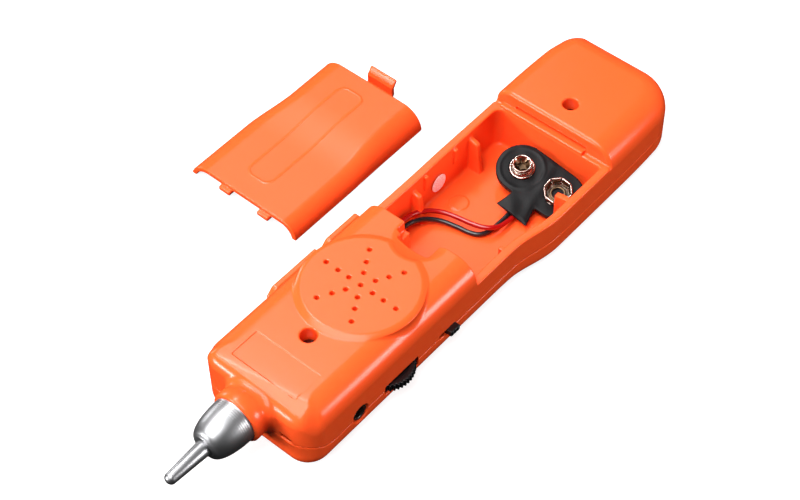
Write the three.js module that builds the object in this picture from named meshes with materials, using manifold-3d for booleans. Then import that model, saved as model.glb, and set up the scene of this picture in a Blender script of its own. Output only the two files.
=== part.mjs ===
// Tone probe kit: a hand-held cable tracer with its battery cover lying beside it.
// Units are millimetres. X runs across the case (+X is the thumbwheel side), Y runs along it
// (the probe tip is at -Y) and +Z is up. The case rests on its flat front face at z = 0, and
// the origin is on that face, below the joint between the head and the battery bay.

import * as THREE from 'three';
import { mergeVertices } from 'three/addons/utils/BufferGeometryUtils.js';
import Module from 'manifold-3d';

const wasm = await Module();
wasm.setup();

// ---------------------------------------------------------------- driving dimensions
const HEAD_FRONT = -66;          // flat front of the head
const BUTT_END = 92;             // far end of the case
const HEAD_HALF_WIDTH = 19.2;
const GRIP_LEFT = 19.4;           // the grip swells on its +X side only
const GRIP_RIGHT = 21.8;
const HEAD_TOP = 23.4;
const GRIP_TOP = 21.9;
const WAIST_START = 16;          // the section changes from head to grip between these two
const WAIST_END = 34;
const WALL = 2;
const GAP = 0.3;                 // clearance between touching pieces
const NOSE_CORNER = 7;           // plan radii of the corners, front and far end
const BUTT_CORNER_LEFT = 7;
const BUTT_CORNER_RIGHT = 11;
const BROW = 6;                  // the top rolls over towards the nose across this length
const SEAM = 8.2;                // height of the parting line along the sides
const SEAM_NOSE = 11.4;          // height of the parting line across the front

const BAY_START = 0.5;           // battery bay, sized for a 9 V block battery
const BAY_END = 54.8;
const BAY_SIDE = 2.5;            // case side face to bay wall
const COVER_END = 56.5;          // shoulder that the cover meets
const RIM = 16.1;                // height of the cover seat
const COVER_WALL = 1.8;
const COVER_TABS = [-7.8, 7.6];  // where the two tabs sit across the cover
const TAB_HEIGHT = 19;
const COVER_REST = { x: -56.6, y: 45.6 };   // where the removed cover's latch end lies

const DISC = { x: 0, y: -24, radius: 16.2, height: 1 };
const GRILLE_RINGS = [4.09, 7.81, 12];
const GRILLE_HOLE = 0.65;
const NOTCH = { x: 0.4, halfWidth: 5.6, depth: 5.4 };

const NOSE = { x: -0.3, z: 16.3 };  // axis of the probe
const COLLAR = { radius: 7.6, front: -71.7 };
const FERRULE = { base: 6.6, front: 3.5, start: -72, end: -82.6 };
const ROD_TIP = -96;

const SCREW_HEAD = { x: 0, y: -44.2, seat: 15.6 };
const SCREW_BUTT = { x: 1.2, y: 64.3, seat: 15.6 };
const JACK = { y: -46.4, z: 8.7, radius: 2.8 };
const WHEEL = { x: 13.7, y: -30.3, z: 8, radius: 8, thickness: 2.5 };
const SWITCH = { y: -10.3, z: 8.4, travel: 3 };
const LAMP = { x: 11.3, z: 11.8 };
const BOARD = { bottom: 4.4, top: 5.6 };
const BOARD_SCREWS = [[-12.6, -52.6], [13, -19.2]];
const SNAP = {
  x: 5.2, y: 46.1, z: 7.8, spacing: 12.95, radius: 7.6, thickness: 2.2, pitch: 13, roll: 8, yaw: -2,
};
const STICKER = { y: 27.6, z: 7.2, radius: 2.9 };
const LEAD_RADIUS = 0.7;

// ---------------------------------------------------------------- materials
const paint = (color, roughness, metalness = 0) =>
  new THREE.MeshStandardMaterial({ color, roughness, metalness });
const ORANGE = paint(0xff6a2b, 0.42);
const BLACK = paint(0x1b1b1d, 0.5);
const BLACK_SOFT = paint(0x222124, 0.6);
const ALUMINIUM = paint(0xb9bcc0, 0.32, 1);
const STEEL = paint(0xc9ccd0, 0.25, 1);
const NICKEL = paint(0xd8cfc4, 0.2, 1);
const BRASS = paint(0xc09a4a, 0.3, 1);
const RED = paint(0xc0161c, 0.45);
const BOARD_GREEN = paint(0x1f6b3a, 0.5);
const PAPER = paint(0xf2efe9, 0.8);
const CONE = paint(0x2a2a2c, 0.8);
const CLEAR = paint(0xf4d7c8, 0.2);
const TAN = paint(0xc9a36b, 0.5);

const group = new THREE.Group();

// ---------------------------------------------------------------- solids
function toSolid(geometry) {
  const bare = new THREE.BufferGeometry();
  bare.setAttribute('position', geometry.getAttribute('position'));
  if (geometry.index) bare.setIndex(geometry.index);
  const merged = mergeVertices(bare, 1e-4);
  return new wasm.Manifold(new wasm.Mesh({
    numProp: 3,
    vertProperties: new Float32Array(merged.getAttribute('position').array),
    triVerts: new Uint32Array(merged.index.array),
  }));
}

function toGeometry(solid) {
  const mesh = solid.getMesh();
  const geometry = new THREE.BufferGeometry();
  geometry.setAttribute('position', new THREE.BufferAttribute(new Float32Array(mesh.vertProperties), 3));
  geometry.setIndex(new THREE.BufferAttribute(new Uint32Array(mesh.triVerts), 1));
  geometry.computeVertexNormals();
  return geometry;
}

function add(name, shape, material, place = null) {
  const geometry = shape.isBufferGeometry ? shape : toGeometry(shape);
  const mesh = new THREE.Mesh(geometry, material);
  mesh.name = name;
  if (place) mesh.applyMatrix4(place);
  group.add(mesh);
  return mesh;
}

const join = (...solids) => solids.reduce((a, b) => a.add(b));
const cut = (solid, ...tools) => tools.reduce((a, b) => a.subtract(b), solid);

function box(x0, x1, y0, y1, z0, z1) {
  const geometry = new THREE.BoxGeometry(x1 - x0, y1 - y0, z1 - z0);
  geometry.translate((x0 + x1) / 2, (y0 + y1) / 2, (z0 + z1) / 2);
  return toSolid(geometry);
}

// A solid turned about the axis through (x, y), from a list of [radius, height] points.
function turned(x, y, profile, segments = 20) {
  const points = profile.map(([r, z]) => new THREE.Vector2(r, z));
  const geometry = new THREE.LatheGeometry(points, segments);
  geometry.rotateX(Math.PI / 2);
  geometry.translate(x, y, 0);
  return toSolid(geometry);
}

function post(x, y, z0, z1, radius, segments = 20) {
  return turned(x, y, [[0, z0], [radius, z0], [radius, z1], [0, z1]], segments);
}

// A cylinder along X or along Y.
function rod(axis, a0, a1, u, z, radius, segments = 20) {
  const geometry = new THREE.CylinderGeometry(radius, radius, a1 - a0, segments);
  if (axis === 'x') {
    geometry.rotateZ(Math.PI / 2);
    geometry.translate((a0 + a1) / 2, u, z);
  } else {
    geometry.translate(u, (a0 + a1) / 2, z);
  }
  return toSolid(geometry);
}

// A solid turned about the probe axis, from a list of [radius, y] points.
function turnedOnNose(profile, segments = 24) {
  const points = profile.map(([r, y]) => new THREE.Vector2(r, y));
  const geometry = new THREE.LatheGeometry(points, segments);
  geometry.translate(NOSE.x, 0, NOSE.z);
  return toSolid(geometry);
}

// An outline in Y and Z carried across the whole width.
function across(outline, x0, x1) {
  const shape = new THREE.Shape(outline.map(([y, z]) => new THREE.Vector2(y, z)));
  const geometry = new THREE.ExtrudeGeometry(shape, { depth: x1 - x0, bevelEnabled: false });
  geometry.applyMatrix4(new THREE.Matrix4().set(0, 0, 1, x0, 1, 0, 0, 0, 0, 1, 0, 0, 0, 0, 0, 1));
  return toSolid(geometry);
}

// An outline in X and Y carried upwards.
function upwards(shape, z0, z1) {
  const options = { depth: z1 - z0, bevelEnabled: false, curveSegments: 8 };
  const geometry = new THREE.ExtrudeGeometry(shape, options);
  geometry.translate(0, 0, z0);
  return toSolid(geometry);
}

// ---------------------------------------------------------------- the case section
const ease = (t) => t * t * (3 - 2 * t);
const clamp01 = (t) => Math.min(1, Math.max(0, t));
const grip = (y) => ease(clamp01((y - WAIST_START) / (WAIST_END - WAIST_START)));
const mix = (a, b, t) => a + (b - a) * t;
// How far a corner of radius r has fallen back, at a distance d into the corner.
const fall = (d, r) => (d <= 0 ? 0 : r - Math.sqrt(Math.max(0, r * r - Math.min(d, r) ** 2)));

function caseSection(y) {
  const t = grip(y);
  const nose = fall(HEAD_FRONT + NOSE_CORNER - y, NOSE_CORNER);
  const taper = 1.4 * clamp01((y - 64) / 28) ** 2;
  const cornerLeft = 0.85 * fall(y - (BUTT_END - BUTT_CORNER_LEFT), BUTT_CORNER_LEFT);
  const cornerRight = 0.85 * fall(y - (BUTT_END - BUTT_CORNER_RIGHT), BUTT_CORNER_RIGHT);
  const left = -mix(HEAD_HALF_WIDTH, GRIP_LEFT, t) + nose + taper + cornerLeft;
  const right = mix(HEAD_HALF_WIDTH, GRIP_RIGHT, t) - nose - taper - cornerRight;
  const top = mix(HEAD_TOP, GRIP_TOP, t) - 0.85 * fall(HEAD_FRONT + BROW - y, BROW)
    - 0.85 * fall(y - (BUTT_END - 8), 8);
  const bottom = fall(HEAD_FRONT + 4 - y, 4) + 0.7 * fall(y - (BUTT_END - 6), 6);
  return {
    centre: (left + right) / 2,
    halfWidth: (right - left) / 2,
    top,
    bottom,
    topRadius: mix(7, 5.6, t),
    bottomRadius: mix(7, 4.6, t),
  };
}

function sectionLoop(section, y, inset) {
  const halfWidth = section.halfWidth - inset;
  const top = section.top - inset;
  const bottom = section.bottom + inset;
  const most = Math.min(halfWidth, (top - bottom) / 2) - 0.05;
  const upper = Math.min(most, Math.max(1, section.topRadius - inset));
  const lower = Math.min(most, Math.max(1, section.bottomRadius - inset));
  const corners = [
    [halfWidth - lower, bottom + lower, lower, -90],
    [halfWidth - upper, top - upper, upper, 0],
    [-halfWidth + upper, top - upper, upper, 90],
    [-halfWidth + lower, bottom + lower, lower, 180],
  ];
  const loop = [];
  const steps = 4;
  for (const [cx, cz, r, start] of corners) {
    for (let i = 0; i <= steps; i++) {
      const angle = THREE.MathUtils.degToRad(start + (90 * i) / steps);
      loop.push([section.centre + cx + r * Math.cos(angle), y, cz + r * Math.sin(angle)]);
    }
  }
  return loop;
}

// A closed skin through a row of loops that all have the same number of points.
function loft(loops) {
  const count = loops[0].length;
  const positions = loops.flat(2);
  const index = [];
  for (let i = 0; i + 1 < loops.length; i++) {
    for (let j = 0; j < count; j++) {
      const a = i * count + j;
      const b = i * count + ((j + 1) % count);
      index.push(a, a + count, b, b, a + count, b + count);
    }
  }
  const last = (loops.length - 1) * count;
  for (let j = 1; j + 1 < count; j++) {
    index.push(0, j, j + 1);
    index.push(last, last + j + 1, last + j);
  }
  const geometry = new THREE.BufferGeometry();
  geometry.setAttribute('position', new THREE.Float32BufferAttribute(positions, 3));
  geometry.setIndex(index);
  return toSolid(geometry);
}

function stations(from, to, inset = 0) {
  const nose = [0, 0.4, 1.4, 3, 5, 7.5, 10].map((d) => HEAD_FRONT + d);
  const butt = [30, 20, 12, 8, 5, 2.8, 1.2, 0.3, 0].map((d) => BUTT_END - d);
  const places = [...nose, 0, 14, 18, 21.5, 25, 28.5, 32, 36, ...butt];
  const inside = places.filter((y) => y > from + 0.2 && y < to - 0.2);
  return [from, ...inside, to].map((y) => sectionLoop(caseSection(y), y, inset));
}

// Everything above the parting line, or below it.
function seamSide(above) {
  const drop = above ? 0 : GAP;
  const far = above ? 60 : -20;
  return across([[-90, SEAM_NOSE - drop], [-63, SEAM_NOSE - drop], [-57, SEAM - drop], [120, SEAM - drop],
    [120, far], [-90, far]], -40, 40);
}

// The space that the cover fills, above the rim.
function coverSpace(from, to, lift = 0) {
  return box(-40, 40, from, to, RIM + lift, 60);
}

function bayCutter() {
  const loops = [BAY_START, 14, 18, 21.5, 25, 28.5, 32, 36, BAY_END].map((y) => {
    const { centre, halfWidth } = caseSection(y);
    const left = centre - halfWidth + BAY_SIDE;
    const right = centre + halfWidth - BAY_SIDE;
    return [[left + 1, y, WALL], [right - 1, y, WALL], [right, y, WALL + 1], [right, y, 60], [left, y, 60],
      [left, y, WALL + 1]];
  });
  return loft(loops);
}

function scoop() {
  const geometry = new THREE.SphereGeometry(9, 24, 12);
  geometry.scale(1, 1, 0.5);
  geometry.translate(NOTCH.x, -3.5, 26.2);
  return toSolid(geometry);
}

// ---------------------------------------------------------------- the two case shells
function outerForm() {
  const body = loft(stations(HEAD_FRONT, BUTT_END));
  const base = HEAD_FRONT + 0.3;
  const { radius, front } = COLLAR;
  const profile = [[0, front], [radius - 0.7, front], [radius - 0.1, front + 0.6], [radius, front + 1.6],
    [radius - 0.3, base - 2.2], [radius - 1, base - 1], [radius - 1.9, base], [5, -64], [0, -64]];
  const collar = turnedOnNose(profile, 28);
  return join(body, collar);
}

function sharedCuts() {
  return [
    loft(stations(HEAD_FRONT + 2.4, -1.6, WALL)),
    loft(stations(58.6, BUTT_END - 2.4, WALL)),
    bayCutter(),
    rod('y', -75, -60, NOSE.x, NOSE.z, 4.3, 20),
    rod('y', -75, -67.2, NOSE.x, NOSE.z, 6.3, 20),
    rod('x', 15, 22, JACK.y, JACK.z, JACK.radius, 16),
    box(15, 22, WHEEL.y - 8.6, WHEEL.y + 8.6, WHEEL.z - 1.7, WHEEL.z + 1.7),
    box(15, 22, SWITCH.y - 5.4, SWITCH.y + 2.5, SWITCH.z - 1.3, SWITCH.z + 1.3),
    box(LAMP.x - 1.6, LAMP.x + 1.6, -70, -60, LAMP.z - 0.3, LAMP.z + 0.8),
    rod('y', -3, 2, -13.4, 6.4, 2.4, 12),
  ];
}

// A rib on the bay's wall, from x0 at the wall to x1, falling by slope towards the bay.
function rib(x0, x1, y, width, top, slope) {
  const shape = [[x0, 1.9], [x1, 1.9], [x1, top - slope], [x0, top]];
  const outline = new THREE.Shape(shape.map(([x, z]) => new THREE.Vector2(x, z)));
  const geometry = new THREE.ExtrudeGeometry(outline, { depth: width, bevelEnabled: false });
  geometry.applyMatrix4(new THREE.Matrix4().set(1, 0, 0, 0, 0, 0, -1, y + width, 0, 1, 0, 0, 0, 0, 0, 1));
  return toSolid(geometry);
}

function bayRibs() {
  return join(
    rib(-19.3, -14.7, 41.2, 1.8, 14.4, 2.4),
    rib(-18.2, -15.2, 16.2, 1.8, 13.6, 2),
    rib(20.8, 15.2, 39.8, 1.6, 15, 0.3),
    rib(18, 15.2, 14.6, 1.6, 15, 1.5),
  );
}

function rail(y0, y1) {
  return across([[y0, 10.4], [y1, 10.4], [y1, 15.4], [y0 + 1, 15.4], [y0, 14.4]], -22.8, -21.6)
    .add(box(-22.8, -18.6, y0, y1, 10.4, 11.6));
}

function grilleHoles() {
  const holes = [[DISC.x, DISC.y]];
  for (let arm = 0; arm < 6; arm++) {
    for (const ring of GRILLE_RINGS) {
      const angle = (arm * Math.PI) / 3;
      holes.push([DISC.x + ring * Math.cos(angle), DISC.y + ring * Math.sin(angle)]);
    }
  }
  return holes.map(([x, y]) => post(x, y, 20, 30, GRILLE_HOLE, 8));
}

function rearCase() {
  const base = DISC.radius + 0.7;
  const discTop = HEAD_TOP + DISC.height;
  const profile = [[0, 20], [base, 20], [base, HEAD_TOP], [DISC.radius, discTop], [0, discTop]];
  const disc = turned(DISC.x, DISC.y, profile, 36);
  let solid = cut(join(outerForm(), disc), ...sharedCuts());
  solid = cut(solid, coverSpace(BAY_START, COVER_END), scoop(),
    box(NOTCH.x - NOTCH.halfWidth, NOTCH.x + NOTCH.halfWidth, BAY_START - NOTCH.depth, 3, 16.2, 40),
    box(-12.5, 12.5, BAY_END - 1, 60, TAB_HEIGHT - 0.4, TAB_HEIGHT + 2),
    box(-11, 11, -60, -51.8, HEAD_TOP - 0.35, 30), ...grilleHoles());
  solid = join(solid, rail(-36.6, -17.2), rail(-15.2, -0.8));
  solid = join(solid, bossTube(SCREW_HEAD, HEAD_TOP - 1), bossTube(SCREW_BUTT, GRIP_TOP - 1));
  solid = cut(solid, screwWell(SCREW_HEAD), screwWell(SCREW_BUTT));
  const bay = loft(stations(0.6, 54.6, BAY_SIDE + 0.2 - 1));
  const ribs = bayRibs().intersect(bay);
  return join(solid, ribs).intersect(seamSide(true)).subtract(snapClearance());
}

function bossTube(screw, top) {
  return post(screw.x, screw.y, SEAM, top, 3.8, 16);
}

function screwWell(screw) {
  const { x, y, seat } = screw;
  return join(post(x, y, seat, 30, 2.35, 16), post(x, y, 0, seat + 1, 1.5, 12));
}

function frontBoss(screw) {
  return cut(post(screw.x, screw.y, 1, SEAM - GAP, 3.2, 16), post(screw.x, screw.y, 2.4, 12, 1.5, 12));
}

function frontCase() {
  let solid = cut(outerForm(), ...sharedCuts());
  const ribs = bayRibs().intersect(loft(stations(0.6, 54.6, BAY_SIDE + 0.2 - 1)));
  solid = join(solid, ribs).intersect(seamSide(false));
  solid = join(solid, frontBoss(SCREW_HEAD), frontBoss(SCREW_BUTT));
  return cut(join(solid, ...BOARD_SCREWS.map(boardPillar)), snapClearance());
}

function boardPillar([x, y]) {
  return cut(post(x, y, 1.5, BOARD.bottom - GAP, 2, 12), post(x, y, 2.3, 8, 0.9, 8));
}

// ---------------------------------------------------------------- battery cover and its latch
function closedCover() {
  const start = BAY_START + GAP;
  const end = COVER_END - GAP;
  const skin = cut(loft(stations(start, end, 0.15)), loft(stations(start - 3, end + 3, COVER_WALL)));
  const walls = box(-30, 30, start, start + 1.6, 10, 30)
    .intersect(loft(stations(start, end, 0.6)))
    .subtract(box(-12, 12, start - 1, start + 3, 0, 18.6));
  const tabTop = TAB_HEIGHT + 1.6;
  const tabs = COVER_TABS.map((x) => box(x - 2.1, x + 2.1, end - 1.4, end + 1.4, TAB_HEIGHT, tabTop));
  const solid = join(join(skin, walls).intersect(coverSpace(start, end, GAP)), ...tabs);
  return cut(solid, box(NOTCH.x - 5.2, NOTCH.x + 5.2, start - 1, start + 1.4, 14, 21.2));
}

// The latch is a sprung U: down from the cover's end, across, and up to a finger lip.
function closedLatch() {
  const end = BAY_START + GAP;
  const outline = [[end + 1, 20.9], [end + 1, 18.1], [end - 1, 16.6], [end - 3.4, 16.6], [end - 4.6, 17.9],
    [end - 4.6, 22.7], [end - 5.2, 23.9], [end - 4, 23.9], [end - 3.4, 22.7], [end - 3.4, 18.4],
    [end - 2.8, 17.8], [end - 1.4, 17.8], [end - 0.2, 18.7], [end - 0.2, 20.9]];
  return across(outline, NOTCH.x - 4.9, NOTCH.x + 4.9);
}

// Turned half round and set down beside the case.
function coverPlace() {
  const place = new THREE.Matrix4().makeTranslation(COVER_REST.x, COVER_REST.y, 0);
  place.multiply(new THREE.Matrix4().makeRotationZ(Math.PI));
  place.multiply(new THREE.Matrix4().makeTranslation(0, -BAY_START, -RIM - GAP));
  return place;
}

// ---------------------------------------------------------------- probe nose
function noseFerrule() {
  const profile = [[0, -67.5], [6, -67.5], [6, FERRULE.start + 0.4], [FERRULE.base, FERRULE.start]];
  const steps = 8;
  for (let i = 0; i <= steps; i++) {
    const t = i / steps;
    const y = mix(FERRULE.start - 0.6, FERRULE.end, t);
    profile.push([mix(FERRULE.front, FERRULE.base, Math.sqrt(1 - t ** 2.2)), y]);
  }
  profile.push([0, FERRULE.end]);
  const bushSeat = rod('y', -80, -60, NOSE.x, NOSE.z, 4.3, 20);
  const rodHole = rod('y', -90, -60, NOSE.x, NOSE.z, 2, 16);
  return cut(turnedOnNose(profile.reverse(), 28), bushSeat, rodHole);
}

function probeBush() {
  return cut(rod('y', -79.7, -58.5, NOSE.x, NOSE.z, 4, 16), rod('y', -90, -50, NOSE.x, NOSE.z, 2, 16));
}

function probeRod() {
  const tip = [[0, ROD_TIP], [0.9, ROD_TIP + 0.25], [1.45, ROD_TIP + 0.9], [1.6, ROD_TIP + 1.8]];
  const profile = [...tip, [2.2, -83.1], [2.2, -82.9], [1.7, -82.9], [1.7, -55.5], [0, -55.5]];
  return turnedOnNose(profile, 20);
}

function contactWire() {
  const points = [[-0.2, -54.8, 15.9], [-1.6, -54, 12.6], [-2.4, -53.8, 9], [-2.4, -53.8, 5.95]];
  return tube(smooth(points), 0.4, 12, 6);
}

const smooth = (points) => new THREE.CatmullRomCurve3(points.map((p) => new THREE.Vector3(...p)));

function tube(path, radius, steps, sides) {
  const shape = new THREE.Shape();
  for (let i = 0; i < sides; i++) {
    const angle = (2 * Math.PI * i) / sides;
    const point = [radius * Math.cos(angle), radius * Math.sin(angle)];
    if (i === 0) shape.moveTo(...point);
    else shape.lineTo(...point);
  }
  shape.closePath();
  const options = { steps, extrudePath: path, bevelEnabled: false, curveSegments: 1 };
  return toSolid(new THREE.ExtrudeGeometry(shape, options));
}

// ---------------------------------------------------------------- loudspeaker
function speaker() {
  const { x, y } = DISC;
  const basket = [[13.4, 20.9], [11, 20.9], [11, 20.1], [8.4, 17.6], [5, 17.3], [5, 16.6], [8.8, 16.8],
    [12, 19.6], [13.4, 19.9], [13.4, 20.9]];
  const under = [[0, 19.6], [3, 19.2], [5, 18.7], [10.5, 20.6]];
  const paper = [...under, [10.5, 20.9], [5, 19.2], [3, 19.8], [0, 20.4]];
  const frame = turned(x, y, basket, 28);
  const cone = turned(x, y, paper, 24);
  const magnet = turned(x, y, [[0, 13.4], [6.2, 13.4], [6.2, 16.2], [0, 16.2]], 24);
  add('speaker_frame', frame, STEEL);
  add('speaker_cone', cone, CONE);
  add('speaker_magnet', magnet, STEEL);
}

// ---------------------------------------------------------------- circuit board and what it carries
function circuitBoard() {
  const shape = new THREE.Shape();
  const w = 15.8;
  shape.moveTo(-w + 6, -59.5);
  shape.lineTo(w - 6, -59.5);
  shape.lineTo(w, -53);
  shape.lineTo(w, -3);
  shape.lineTo(-w, -3);
  shape.lineTo(-w, -53);
  shape.closePath();
  const board = upwards(shape, BOARD.bottom, BOARD.top);
  const holes = BOARD_SCREWS.map(([x, y]) => post(x, y, 0, 10, 1.2, 10));
  add('circuit_board', cut(board, post(SCREW_HEAD.x, SCREW_HEAD.y, 0, 10, 4.2, 16), ...holes), BOARD_GREEN);
  BOARD_SCREWS.forEach(([x, y], i) => {
    const profile = [[0, 2.6], [0.7, 2.6], [0.7, 5.9], [1.9, 5.9], [1.9, 6.7], [1.2, 7.1], [0, 7.1]];
    add(`board_screw_${i + 1}`, turned(x, y, profile, 12), STEEL);
  });
}

function electronics() {
  const z = BOARD.top + GAP;
  const parts = [
    ['amplifier_chip', box(-12.6, -6.2, -38, -28.6, z, z + 3.2), BLACK],
    ['capacitor_large', post(-10.4, -20, z, z + 6.4, 3.1), BLACK_SOFT],
    ['capacitor_small', post(-11.2, -47, z, z + 5, 2), BLACK_SOFT],
    ['transistor', box(-2.4, 2.2, -29.8, -26.6, z, z + 4.6), BLACK],
    ['trim_inductor', post(3.4, -54.4, z, z + 4, 2.6), CONE],
  ];
  for (const [name, solid, material] of parts) add(name, solid, material);
  for (let i = 0; i < 4; i++) {
    add(`resistor_${i + 1}`, rod('y', -23.9, -17.6, -3.6 + 3 * i, z + 1.1, 1, 10), TAN);
  }
}

// ---------------------------------------------------------------- controls on the side
function knurledWheel() {
  const shape = new THREE.Shape();
  const teeth = 40;
  for (let i = 0; i < 2 * teeth; i++) {
    const angle = (Math.PI * i) / teeth;
    const r = i % 2 ? WHEEL.radius : WHEEL.radius - 0.35;
    const point = [WHEEL.x + r * Math.cos(angle), WHEEL.y + r * Math.sin(angle)];
    if (i === 0) shape.moveTo(...point);
    else shape.lineTo(...point);
  }
  shape.closePath();
  const low = WHEEL.z - WHEEL.thickness / 2;
  return cut(upwards(shape, low, low + WHEEL.thickness), post(WHEEL.x, WHEEL.y, 0, 20, 1.8, 16));
}

function controls() {
  const z = BOARD.top + GAP;
  const low = WHEEL.z - WHEEL.thickness / 2;
  const base = box(WHEEL.x - 6, WHEEL.x + 2, WHEEL.y - 4.4, WHEEL.y + 4.4, z, low - GAP);
  const axle = post(WHEEL.x, WHEEL.y, z, low + WHEEL.thickness + 0.6, 1.5, 16);
  add('volume_control_body', join(base, axle), BLACK);
  add('volume_thumbwheel', knurledWheel(), BLACK);

  const body = box(11, 16.6, SWITCH.y - 6, SWITCH.y + 3.2, z, z + 5);
  const slot = box(13.6, 20, SWITCH.y - 5, SWITCH.y + 2.2, SWITCH.z - 1.2, SWITCH.z + 1.2);
  add('power_switch_body', cut(body, slot), STEEL);
  const foot = box(13.9, 16.4, SWITCH.y - 1.7, SWITCH.y + 1.7, SWITCH.z - 0.9, SWITCH.z + 0.9);
  const stem = box(16.2, 21.2, SWITCH.y - 1.9, SWITCH.y + 1.9, SWITCH.z - 1, SWITCH.z + 1);
  add('power_switch_slider', join(foot, stem), BLACK);

  const block = box(7.4, 16.8, JACK.y - 3, JACK.y + 3, z, z + 5.8);
  const neck = rod('x', 16, 18.6, JACK.y, JACK.z, 2.5, 16);
  const socket = rod('x', 8.6, 20, JACK.y, JACK.z, 2.15, 16);
  add('earphone_jack_body', cut(join(block, neck), socket), BLACK);
  const tube = rod('x', 12, 18.8, JACK.y, JACK.z, 2.05, 16);
  const sleeve = cut(tube, rod('x', 10, 20, JACK.y, JACK.z, 1.75, 16));
  add('earphone_jack_sleeve', sleeve, NICKEL);

  const lens = rod('y', -62, -58.6, LAMP.x, LAMP.z, 1.5, 14);
  const legs = box(LAMP.x - 0.9, LAMP.x + 0.9, -60.4, -59, z, LAMP.z);
  add('indicator_lamp', join(lens, legs), CLEAR);
}

// ---------------------------------------------------------------- case screws
function caseScrew(name, { x, y, seat }) {
  const under = seat + GAP;
  const crown = seat + 2;
  const shank = [[0, 3.4], [1.2, 3.4], [1.2, under]];
  const profile = [...shank, [2.05, under], [2.05, crown - 0.8], [1.3, crown], [0, crown]];
  const slotAlong = box(x - 1.2, x + 1.2, y - 0.25, y + 0.25, crown - 0.8, crown + 1);
  const slotAcross = box(x - 0.25, x + 0.25, y - 1.2, y + 1.2, crown - 0.8, crown + 1);
  add(name, cut(turned(x, y, profile, 16), slotAlong, slotAcross), STEEL);
}

// ---------------------------------------------------------------- battery snap and its leads
function snapOutline(r) {
  const shape = new THREE.Shape();
  const half = SNAP.spacing / 2;
  shape.moveTo(-half, r);
  shape.absarc(-half, 0, r, Math.PI / 2, (3 * Math.PI) / 2 + 0.35, false);
  shape.lineTo(-3.9, -7.4);
  shape.lineTo(-5.4, -11.6);
  shape.lineTo(5, -12.6);
  shape.lineTo(4.2, -7.6);
  shape.absarc(half, 0, r, (3 * Math.PI) / 2 - 0.35, (5 * Math.PI) / 2, false);
  shape.closePath();
  return shape;
}

// The snap lies loose in the bay, tail down and tipped towards the wheel side.
function snapPlace() {
  const turn = new THREE.Euler(...[SNAP.pitch, SNAP.roll, SNAP.yaw].map(THREE.MathUtils.degToRad), 'ZXY');
  return new THREE.Matrix4().makeRotationFromEuler(turn).setPosition(SNAP.x, SNAP.y, SNAP.z);
}

// The space that the snap needs, cut from anything that would touch it.
function snapClearance() {
  return upwards(snapOutline(SNAP.radius + GAP), -SNAP.thickness, 3.6).transform(snapPlace().elements);
}

function batterySnap() {
  const half = SNAP.spacing / 2;
  const place = snapPlace();
  const plate = cut(upwards(snapOutline(SNAP.radius), -SNAP.thickness, 0),
    post(-half, 0, -0.8, 20, 4, 16), post(half, 0, -0.8, 20, 4.3, 16)).transform(place.elements);
  add('battery_snap', cut(plate, box(-40, 40, 0, 60, -10, WALL + GAP)), BLACK_SOFT);
  const stud = [[0, -0.5], [3.6, -0.5], [3.6, 0.1], [2.5, 0.6], [2.4, 1.7], [2.8, 2.3], [2.7, 2.8], [2, 2.9],
    [1.6, 2.5], [1.4, 0.5], [0, 0.5]];
  const crown = [[0, -0.5], [3.4, -0.5], [3.9, 1.1], [3.6, 2.5], [3.2, 2.5], [3.4, 1.1], [3, 0.3], [0, 0.3]];
  add('snap_stud_terminal', turned(-half, 0, stud, 20), NICKEL, place);
  add('snap_crown_terminal', turned(half, 0, crown, 12), NICKEL, place);
}

// Centre lines of the leads: the red one passes over the black one just before the snap.
const LEAD_RED = [[-13.6, 1, 7.4], [-14.1, 4, 7.7], [-14.7, 7.4, 7.8], [-15, 10.6, 7.5], [-15, 13.6, 6.9],
  [-14.2, 16.6, 6.2], [-12.5, 19.3, 5.6], [-9.8, 21.4, 5.1], [-5.9, 22.6, 4.9], [-1.7, 23.4, 4.8],
  [1.7, 24.3, 4.9], [4, 25.9, 4.8], [5.2, 28.4, 4.2], [5.5, 32.4, 3.6]];
const LEAD_BLACK = [[-13, 1, 5.7], [-13.6, 4, 5.9], [-14.2, 7.4, 6], [-14.3, 10.6, 5.6], [-14, 13.2, 5.1],
  [-12.8, 16, 4.6], [-11.2, 18, 4.1], [-8.4, 19.8, 3.6], [-4.5, 21, 3.2], [-0.9, 21.7, 3],
  [1.7, 22.8, 3], [3.2, 25, 3], [3.6, 28, 3], [3.8, 32.4, 3.2]];

function leads() {
  for (const [name, points, material] of [['red_lead', LEAD_RED, RED], ['black_lead', LEAD_BLACK, BLACK]]) {
    add(name, tube(smooth(points), LEAD_RADIUS, 26, 8), material);
  }
}

function inspectionSticker() {
  const { y, z, radius } = STICKER;
  const { centre, halfWidth } = caseSection(y - radius);
  const face = centre - halfWidth + BAY_SIDE + GAP;
  add('inspection_sticker', rod('x', face, face + 0.15, y, z, radius, 20), PAPER);
}

// ---------------------------------------------------------------- assembly
add('rear_case', rearCase(), ORANGE);
add('front_case', frontCase(), ORANGE);
add('battery_cover', closedCover(), ORANGE, coverPlace());
add('cover_latch', closedLatch(), ORANGE, coverPlace());
add('nose_ferrule', noseFerrule(), ALUMINIUM);
add('probe_bush', probeBush(), BLACK);
add('probe_rod', probeRod(), ALUMINIUM);
add('probe_contact_wire', contactWire(), BRASS);
speaker();
circuitBoard();
electronics();
controls();
caseScrew('case_screw_head', SCREW_HEAD);
caseScrew('case_screw_butt', SCREW_BUTT);
batterySnap();
leads();
inspectionSticker();

export default group;
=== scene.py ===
"""Looks for the tone probe: an orange hand-held cable tracer with its battery cover set down beside it.

The shells are solid fields, in millimetres, turned into meshes on a grid: every edge and inside corner
has a moulded radius. The frame is the CAD's: +X is the thumbwheel side, the probe tip is at -Y, +Z is up.
"""
import itertools
import math

import bmesh
import bpy
import numpy as np
from mathutils import Matrix, Vector


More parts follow.
